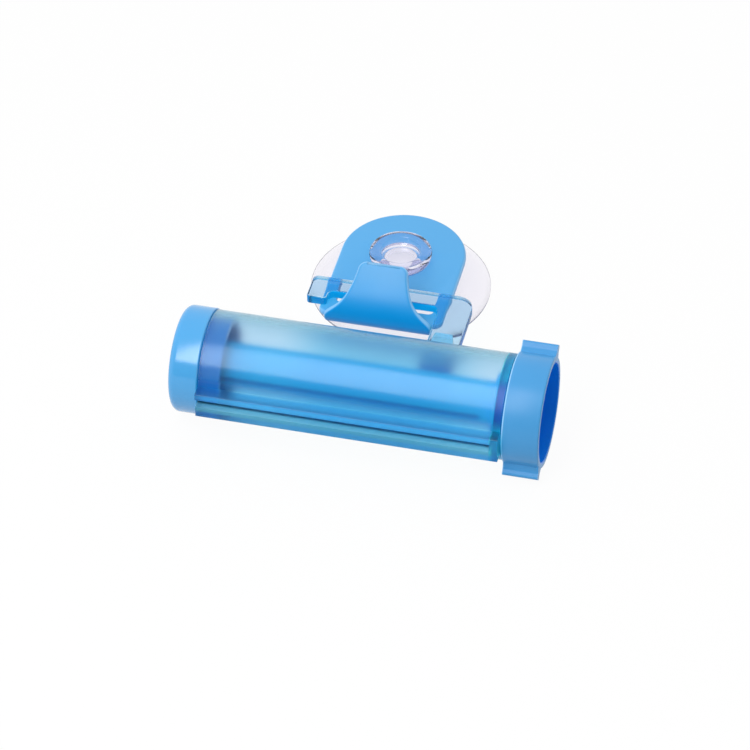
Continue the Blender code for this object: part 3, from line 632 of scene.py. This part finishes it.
def in_end_wall(tree, place):
    """A share that is all in the end wall, and none along the tube and the lips: it places the painted shade
    and the haze there.
    """
    return share_along(tree, place, "X", WALL_SHADE_AND_HAZE_X, WALL_SHADE_AND_HAZE_FULL_X)


def but_outside(tree, place):
    """The share of the frosting: all on bore, lip block and end wall, none on the tube's outside."""
    frosted = share_out(tree, place, BORE_RADIUS + BORE_CLEAR, BORE_RADIUS + BORE_FROST)
    for other in (in_lip(tree, place), in_end_wall(tree, place)):
        frosted = add_node(tree, "ShaderNodeMath", {0: frosted, 1: other}, operation="MAXIMUM").outputs[0]
    return frosted


def painted_hook_shade(tree, place):
    """The share of the painted shade that the hook behind the barrel casts on its middle: none at the tube's
    two ends.
    """
    along = add_node(tree, "ShaderNodeSeparateXYZ", {"Vector": place}).outputs["X"]
    moved = add_node(tree, "ShaderNodeMath", {0: along, 1: -HOOK_SHADE_X}, operation="ADD").outputs[0]
    aside = add_node(tree, "ShaderNodeMath", {0: moved}, operation="ABSOLUTE").outputs[0]
    return add_node(tree, "ShaderNodeMapRange", {
        "Value": aside, "From Min": HOOK_SHADE_REACH, "From Max": HOOK_SHADE_FULL_REACH,
    }, interpolation_type="SMOOTHSTEP").outputs["Result"]


# Polystyrene, toned blue: the tube's outside is glossy. Bore, lips and end wall have a satin haze, which
# blurs what is behind them. Painted shade deepens the blue in the end wall, the upper lip and the middle.
frosted_polystyrene = clear_plastic(
    "frosted_polystyrene_blue", colours=("#FCF6FF", "#FFF8FF"),
    tones=[("#CFEAFA", painted_hook_shade), ("#D4F2FF", in_lip), ("#66C4F6", painted_upper_lip_shade), ("#5CFAFF", in_end_wall)],
    absorbed="#3FEAFA", density=200.0, roughness=0.17, haze=0.34, hazed=but_outside, ior=1.4,
    grain_size=0.5 * MM, passed=("#8CFEFF", "#8CBED8"),
)
finish_piece(barrel, frosted_polystyrene, "barrel", "barrel_set")

# Hanger: a flat, clear plate of the same blue polystyrene with one leg, a bar and a lip at its free end.
# Its faces are polished and see-through, and its finely hazed edges gather the blue of the long way through.
# Its leg is bonded to the barrel's tab, and its bar lies behind the hook's tongue.
HANGER_BOTTOM, HANGER_TOP, HANGER_LEFT, HANGER_RIGHT = 8.8 * MM, 11.3 * MM, -22.2 * MM, 18.7 * MM
HANGER_REACH, LEG_WIDTH, BAR_WIDTH, LIP_WIDTH, LIP_DROP = 39.6 * MM, 8.1 * MM, 4.9 * MM, 5.0 * MM, 3.2 * MM
LEG_CORNER, END_CORNER, LIP_CORNER, INNER_CORNER = 4.2 * MM, 1.4 * MM, 0.8 * MM, 1.6 * MM
HANGER_EDGE, HAZE_DEPTH, HAZE_FULL_DEPTH = 0.3 * MM, 0.1 * MM, 0.3 * MM
leg_x, bar_y = HANGER_RIGHT - LEG_WIDTH, HANGER_REACH - BAR_WIDTH
hanger = object_of("hanger_plate", prism(rounded([
    (leg_x, BARREL_RADIUS + GAP, 0),
    (HANGER_RIGHT, BARREL_RADIUS + GAP, 0),
    (HANGER_RIGHT, HANGER_REACH, LEG_CORNER),
    (HANGER_LEFT, HANGER_REACH, END_CORNER),
    (HANGER_LEFT, bar_y - LIP_DROP, LIP_CORNER),
    (HANGER_LEFT + LIP_WIDTH, bar_y - LIP_DROP, LIP_CORNER),
    (HANGER_LEFT + LIP_WIDTH, bar_y, INNER_CORNER),
    (leg_x, bar_y, INNER_CORNER),
]), HANGER_BOTTOM, HANGER_TOP, from_barrel))
round_edges(hanger, HANGER_EDGE, least_angle=50)


def on_edges(tree, place):
    """The share of the haze and the deeper tint: all of it on the plate's edges, none on its two faces."""
    under_top = share_along(tree, place, "Z", HANGER_TOP - HAZE_DEPTH, HANGER_TOP - HAZE_FULL_DEPTH)
    over_bottom = share_along(tree, place, "Z", HANGER_BOTTOM + HAZE_DEPTH, HANGER_BOTTOM + HAZE_FULL_DEPTH)
    return add_node(tree, "ShaderNodeMath", {0: under_top, 1: over_bottom}, operation="MULTIPLY").outputs[0]


# Polystyrene, polished: pale and clear through its two faces, and a full blue along its thin edges
clear_polystyrene = clear_plastic(
    "clear_polystyrene_blue", colours=("#F8ECF7", "#FAEEF9"), tones=[("#0AA6E6", on_edges)],
    absorbed="#22E3F8", density=200.0, roughness=0.04, haze=0.34, hazed=on_edges, ior=1.28,
    grain_size=1.5 * MM, passed=("#C0FFFF", "#C0FFFF"),
)
finish_piece(hanger, clear_polystyrene, "hanger", "barrel_set")

# End cap: a sky-blue ABS cup pushed into the barrel's open end.
# Its plug sits in the bore, and its socket carries the roller's split end.
# It is moulded in a lightly polished tool, with a soft outer edge.
CAP_X, CAP_RIM_X, CAP_RADIUS, CAP_EDGE, CAP_FLOOR_X = -45.2 * MM, -37.8 * MM, 13.0 * MM, 1.8 * MM, -43.4 * MM
PLUG_RADIUS, PLUG_WALL, PLUG_LENGTH = 10.9 * MM, 1.4 * MM, 5.0 * MM
SOCKET_RADIUS, SOCKET_WALL, SOCKET_LENGTH = 5.8 * MM, 1.5 * MM, 8.0 * MM
CAP_RIM_EDGE, PLUG_FADE = 0.2 * MM, 0.3 * MM
profile = [(CAP_X, 0), (CAP_X, CAP_RADIUS - CAP_EDGE)]
profile += arc(profile[-1], (CAP_X + CAP_EDGE, CAP_RADIUS), False)
profile += [
    (CAP_RIM_X - CAP_RIM_EDGE, CAP_RADIUS),
    (CAP_RIM_X, CAP_RADIUS - CAP_RIM_EDGE),
    (CAP_RIM_X, PLUG_RADIUS),
    (CAP_RIM_X + PLUG_LENGTH, PLUG_RADIUS),
    (CAP_RIM_X + PLUG_LENGTH, PLUG_RADIUS - PLUG_WALL),
    (CAP_FLOOR_X, PLUG_RADIUS - PLUG_WALL),
    (CAP_FLOOR_X, SOCKET_RADIUS + SOCKET_WALL),
    (CAP_FLOOR_X + SOCKET_LENGTH, SOCKET_RADIUS + SOCKET_WALL),
    (CAP_FLOOR_X + SOCKET_LENGTH, SOCKET_RADIUS),
    (CAP_FLOOR_X, SOCKET_RADIUS),
    (CAP_FLOOR_X, 0),
]
end_cap = object_of("end_cap_moulding", turned(profile, about_barrel))


def painted_plug_shade(tree, place):
    """The share of the painted shade: none on the cap that shows, all of it on the plug in the bore."""
    return share_along(tree, place, "X", CAP_RIM_X, CAP_RIM_X + PLUG_FADE)


# ABS, opaque sky blue, semi-gloss, with painted shade on the plug, which only has the light that the barrel
# lets in
cap_abs = moulded_plastic(
    "semi_gloss_abs_sky_blue", colours=("#3DA4E5", "#45A8E8"), tones=[("#008CD8", painted_plug_shade)],
    roughness=0.16, grain_size=0.3 * MM, gloss_level=0.8,
)
finish_piece(end_cap, cap_abs, "end_cap", "barrel_set")

# Roller: the split shaft that winds the tube's tail, with a thrust flange, a journal and a square tail.
# It is moulded from ABS like the cap and plain from the tool. Inside the barrel it is painted a brighter,
# fuller blue, as painted light.
# Its left end turns in the cap's socket and its journal in the barrel's end wall.
ROLLER_X, FLANGE_X, FLANGE_END_X = -43.1 * MM, 32.4 * MM, 33.6 * MM
FLANGE_RADIUS, KNOB_X = 7.8 * MM, 36.2 * MM
TAIL_HALF, TAIL_LENGTH, CHAMFER = 3.3 * MM, 4.6 * MM, 0.6 * MM
SLIT_HALF, SLIT_END_X = 0.85 * MM, FLANGE_X - 3 * MM
roller = object_of("roller_shaft", turned([
    (ROLLER_X, 0),
    (ROLLER_X, ROLLER_RADIUS - CHAMFER),
    (ROLLER_X + CHAMFER, ROLLER_RADIUS),
    (FLANGE_X, ROLLER_RADIUS),
    (FLANGE_X, FLANGE_RADIUS),
    (FLANGE_END_X, FLANGE_RADIUS),
    (FLANGE_END_X, ROLLER_RADIUS),
    (KNOB_X - GAP / 2, ROLLER_RADIUS),
    (KNOB_X - GAP / 2, 0),
], about_barrel))


def block(y, z, x):
    """A straight block along the barrel's axis, between two values of each of y, z and x."""
    return prism([(y[0], z[0]), (y[1], z[0]), (y[1], z[1]), (y[0], z[1])], x[0], x[1], along_barrel)


tail_span = (-TAIL_HALF, TAIL_HALF)
tail = object_of("roller_tail", block(tail_span, tail_span, (FLANGE_END_X, KNOB_X + TAIL_LENGTH)))
combine(roller, tail, "UNION")
wide = ROLLER_RADIUS + PAST
slit = object_of("roller_slit", block(
    (-wide, wide), (-SLIT_HALF, SLIT_HALF), (ROLLER_X - PAST, SLIT_END_X),
))
combine(roller, slit, "DIFFERENCE")


def on_tail(tree, place):
    """The share of the knob's tone along the roller: none in the barrel, all of it on the square tail."""
    return share_along(tree, place, "X", FLANGE_END_X, KNOB_X)


# ABS: painted light makes it a brighter, fuller blue inside the barrel, and the tail, which is seen outright,
# has its own sky blue
shaft_abs = moulded_plastic(
    "plain_abs_blue_painted_light", colours=("#00CEFF", "#04D2FF"), tones=[("#449BD9", on_tail)],
    roughness=0.45, grain_size=0.3 * MM, gloss_level=0.1,
)
finish_piece(roller, shaft_abs, "roller", "winder")

# Knob: an open ring with a floor, a hub and two grip wings that lean at 45 degrees.
# It is moulded from ABS like the cap, with a fillet where each wing grows out of the ring.
# It is pressed on the roller's square tail.
KNOB_END_X, KNOB_FLOOR_X, KNOB_RADIUS, KNOB_INNER_RADIUS = 45.2 * MM, 38.0 * MM, 13.5 * MM, 12.0 * MM
HUB_RADIUS, HUB_HEIGHT, RIM_EDGE = 6.4 * MM, 2.2 * MM, 0.4 * MM
WING_REACH, WING_HALF, WING_ROOT_HALF, WING_INSET = 16.2 * MM, 1.3 * MM, 2.6 * MM, 0.2 * MM
WING_ROOT, WING_FLARE, WING_EDGE, WING_LEAN = 12.6 * MM, 14.6 * MM, 0.6 * MM, math.radians(45)
WING_FILLET, WALL_START, WALL_FULL = 1.4 * MM, 0.6 * MM, 0.1 * MM
RIM_LENGTH, RIM_FULL_LENGTH, RIM_DEPTH, RIM_FULL_DEPTH = 0.5 * MM, 0.2 * MM, 0.6 * MM, 0.3 * MM
profile = [(KNOB_X, 0), (KNOB_X, KNOB_RADIUS - RIM_EDGE)]
profile += arc(profile[-1], (KNOB_X + RIM_EDGE, KNOB_RADIUS), False, steps=4)
profile += [(KNOB_END_X - RIM_EDGE, KNOB_RADIUS)]
profile += arc(profile[-1], (KNOB_END_X, KNOB_RADIUS - RIM_EDGE), True, steps=4)
profile += [
    (KNOB_END_X, KNOB_INNER_RADIUS + RIM_EDGE / 2),
    (KNOB_END_X - RIM_EDGE / 2, KNOB_INNER_RADIUS),
    (KNOB_FLOOR_X, KNOB_INNER_RADIUS),
    (KNOB_FLOOR_X, HUB_RADIUS),
    (KNOB_FLOOR_X + HUB_HEIGHT, HUB_RADIUS),
    (KNOB_FLOOR_X + HUB_HEIGHT, 0),
]
knob = object_of("knob_moulding", turned(profile, about_barrel))
wing_section = rounded([
    (WING_ROOT, -WING_ROOT_HALF, 0),
    (WING_FLARE, -WING_HALF, WING_FILLET),
    (WING_REACH, -WING_HALF, WING_EDGE),
    (WING_REACH, WING_HALF, WING_EDGE),
    (WING_FLARE, WING_HALF, WING_FILLET),
    (WING_ROOT, WING_ROOT_HALF, 0),
])


def wings_tree():
    """Geometry nodes that set copies of one wing evenly round an axis along X."""
    tree = new_tree("wings_round_ring", {"Wings": "Int", "Lean": "Float", "Centre": "Vector"})
    given = add_node(tree, "NodeGroupInput").outputs
    spots = add_node(tree, "GeometryNodePoints", {"Count": given["Wings"], "Position": given["Centre"]})
    index = add_node(tree, "GeometryNodeInputIndex").outputs["Index"]
    part = add_node(tree, "ShaderNodeMath", {0: index, 1: given["Wings"]}, operation="DIVIDE")
    turn = add_node(tree, "ShaderNodeMath", {
        0: part.outputs[0], 1: 2 * math.pi, 2: given["Lean"],
    }, operation="MULTIPLY_ADD")
    facing = add_node(tree, "ShaderNodeCombineXYZ", {"X": turn.outputs[0]})
    copies = add_node(tree, "GeometryNodeInstanceOnPoints", {
        "Points": spots.outputs[0], "Instance": given["Geometry"], "Rotation": facing.outputs[0],
    })
    end_tree(tree, copies.outputs["Instances"], given["Material"])
    return tree


def painted_ring_shade(tree, place):
    """The share of the painted shade: all of it inside the ring, none on the outside."""
    return share_out(tree, place, KNOB_INNER_RADIUS + WALL_START, KNOB_INNER_RADIUS + WALL_FULL)


def painted_rim_highlight(tree, place):
    """The share of the painted highlight: all of it on the rounded rim beside the barrel, none elsewhere."""
    beside = share_along(tree, place, "X", KNOB_X + RIM_LENGTH, KNOB_X + RIM_FULL_LENGTH)
    outside = share_out(tree, place, KNOB_RADIUS - RIM_DEPTH, KNOB_RADIUS - RIM_FULL_DEPTH)
    return add_node(tree, "ShaderNodeMath", {0: beside, 1: outside}, operation="MULTIPLY").outputs[0]


# ABS, semi-gloss, with painted shade inside the ring and a painted highlight on the thin rim beside the
# barrel
knob_abs = moulded_plastic(
    "semi_gloss_abs_sky_blue_knob", colours=("#449BD9", "#4CA0DD"),
    tones=[("#0090F8", painted_ring_shade), ("#9CD2FA", painted_rim_highlight)],
    roughness=0.34, grain_size=0.3 * MM, gloss_level=0.35,
)
wings = object_of("knob_wings", prism(
    wing_section, KNOB_X + WING_INSET, KNOB_END_X - WING_INSET, lambda u, v, w: (w, u, v),
))
run_tree(wings, wings_tree(), {
    "Wings": 2, "Lean": WING_LEAN, "Centre": (0.0, BARREL_Y, BARREL_Z), "Material": knob_abs,
})
combine(knob, wings, "UNION")
hole_half = TAIL_HALF + GAP
square_hole = object_of("knob_hole", block(
    (-hole_half, hole_half), (-hole_half, hole_half), (KNOB_X - PAST, KNOB_END_X),
))
combine(knob, square_hole, "DIFFERENCE")
finish_piece(knob, knob_abs, "knob", "winder")

# Table: a wide, matt white board under the object, which keeps the object's soft shadow.
# Directly and in gloss it is almost an even white. Through clear plastic it is half white, half as it is lit.
TABLE_HALF, TABLE_Z, WHITE_SEEN, WHITE_THROUGH = 3.0, -0.05 * MM, 0.95, 0.5
shape = bmesh.new()
corners = [(x * TABLE_HALF, y * TABLE_HALF) for x, y in ((-1, -1), (1, -1), (1, 1), (-1, 1))]
shape.faces.new([shape.verts.new((x, y, TABLE_Z)) for x, y in corners])
table = object_of("table", shape)
board = bpy.data.materials.new("matt_white_board")
board.use_nodes = True
tree = board.node_tree
tree.nodes.clear()
seen = add_node(tree, "ShaderNodeLightPath").outputs
outright = add_node(tree, "ShaderNodeMath", {
    0: seen["Is Camera Ray"], 1: seen["Is Glossy Ray"],
}, operation="MAXIMUM")
part = add_node(tree, "ShaderNodeMath", {
    0: seen["Is Transmission Ray"], 1: WHITE_THROUGH,
}, operation="MULTIPLY")
kept = add_node(tree, "ShaderNodeMath", {0: outright.outputs[0], 1: WHITE_SEEN}, operation="MULTIPLY")
white_share = add_node(tree, "ShaderNodeMath", {
    0: kept.outputs[0], 1: part.outputs[0],
}, operation="MAXIMUM")
# Bounced light finds the board a little greyer than the eye does
tone = add_node(tree, "ShaderNodeMix", {
    0: seen["Is Diffuse Ray"], 6: linear("#F2F2F2"), 7: linear("#CECECE"),
}, data_type="RGBA")
paint = add_node(tree, "ShaderNodeBsdfDiffuse", {"Color": tone.outputs[2]})
glow = add_node(tree, "ShaderNodeEmission", {"Color": linear("#FFFFFF"), "Strength": 1.0})
mixed = add_node(tree, "ShaderNodeMixShader", {
    0: white_share.outputs[0], 1: paint.outputs[0], 2: glow.outputs[0],
})
add_node(tree, "ShaderNodeOutputMaterial", {"Surface": mixed.outputs[0]})
table.data.materials.append(board)

# Light: a white room, dimmer on the camera's side and to the right, and one tall softbox high in front.
# Directly and through clear plastic the room is all white, and gloss shows its dim side.
# The light that it gives the object is a little weaker than its white.
WHITE_LIT, WHITE_DIM, FILL_SHARE = 1.0, 0.4, 0.88
DIM_SIDE, DIM_START, DIM_FULL = (0.6, -0.8, 0.0), -0.3, 0.8
room = bpy.data.worlds.new("white_room")
bpy.context.scene.world = room
room.use_nodes = True
tree = room.node_tree
tree.nodes.clear()
seen = add_node(tree, "ShaderNodeLightPath").outputs
way = add_node(tree, "ShaderNodeTexCoord").outputs["Generated"]
towards_dim = add_node(tree, "ShaderNodeVectorMath", {0: way, 1: DIM_SIDE}, operation="DOT_PRODUCT")
white = add_node(tree, "ShaderNodeMapRange", {
    "Value": towards_dim.outputs["Value"], "From Min": DIM_START, "From Max": DIM_FULL,
    "To Min": WHITE_LIT, "To Max": WHITE_DIM,
}, interpolation_type="SMOOTHSTEP")
share = add_node(tree, "ShaderNodeMapRange", {
    "Value": seen["Is Glossy Ray"], "To Min": FILL_SHARE, "To Max": 1.0,
})
room_white = add_node(tree, "ShaderNodeMath", {
    0: white.outputs["Result"], 1: share.outputs["Result"],
}, operation="MULTIPLY")
outright = add_node(tree, "ShaderNodeMath", {
    0: seen["Is Camera Ray"], 1: seen["Is Transmission Ray"],
}, operation="MAXIMUM")
strength = add_node(tree, "ShaderNodeMath", {
    0: room_white.outputs[0], 1: outright.outputs[0],
}, operation="MAXIMUM")
sky = add_node(tree, "ShaderNodeBackground", {"Color": linear("#FFFFFF"), "Strength": strength.outputs[0]})
add_node(tree, "ShaderNodeOutputWorld", {"Surface": sky.outputs[0]})


def softbox(name, azimuth, elevation, distance, width, height, power):
    """An upright lamp aimed at the object from a direction in degrees, azimuth 0 being the front."""
    a, e = math.radians(azimuth), math.radians(elevation)
    back = Vector((math.sin(a) * math.cos(e), -math.cos(a) * math.cos(e), math.sin(e)))
    lamp = bpy.data.lights.new(name, "AREA")
    lamp.shape, lamp.size, lamp.size_y, lamp.energy = "RECTANGLE", width, height, power
    placed = bpy.data.objects.new(name, lamp)
    placed.location = back * distance
    placed.rotation_euler = back.to_track_quat("Z", "Y").to_euler()
    # Seen through plastic, it would run along the barrel's lip block as a bright line
    placed.visible_transmission = False
    bpy.context.scene.collection.objects.link(placed)


softbox("front_softbox", azimuth=-17, elevation=54, distance=0.7, width=0.25, height=0.58, power=2.5)

# Camera: a long lens from the photograph's side, 13.6 degrees right of the front and 41.6 degrees up.
# It was fitted to some forty points of the photograph, such as rims, straight edges and corners.
AZIMUTH, ELEVATION, ROLL = math.radians(13.64), math.radians(41.57), math.radians(-0.59)
DISTANCE, ASIDE, ABOVE = 0.900, 10.81 * MM, 1.91 * MM
# The picture's width, the focal length and the shift of the optical centre, all in the photograph's pixels
PICTURE, FOCAL_PIXELS, CENTRE_RIGHT, CENTRE_UP = 750, 3767.5, 19.46, 0.56
AIM = Vector((-3.55 * MM, BARREL_Y, BARREL_Z))
back = Vector((
    math.sin(AZIMUTH) * math.cos(ELEVATION), -math.cos(AZIMUTH) * math.cos(ELEVATION), math.sin(ELEVATION),
))
level = Vector((math.cos(AZIMUTH), math.sin(AZIMUTH), 0))
upright = back.cross(level)
right = level * math.cos(ROLL) + upright * math.sin(ROLL)
up = upright * math.cos(ROLL) - level * math.sin(ROLL)
lens = bpy.data.cameras.new("photo_camera")
lens.sensor_width, lens.sensor_fit = 36.0, "HORIZONTAL"
lens.lens = FOCAL_PIXELS * lens.sensor_width / PICTURE
lens.shift_x, lens.shift_y = -CENTRE_RIGHT / PICTURE, -CENTRE_UP / PICTURE
lens.clip_start, lens.clip_end = 0.05, 20.0
camera = bpy.data.objects.new("photo_camera", lens)
bpy.context.scene.collection.objects.link(camera)
place = AIM + right * ASIDE + up * ABOVE + back * DISTANCE
camera.matrix_world = Matrix.Translation(place) @ Matrix((right, up, back)).transposed().to_4x4()
bpy.context.scene.camera = camera
bpy.context.scene.view_settings.view_transform = "Standard"
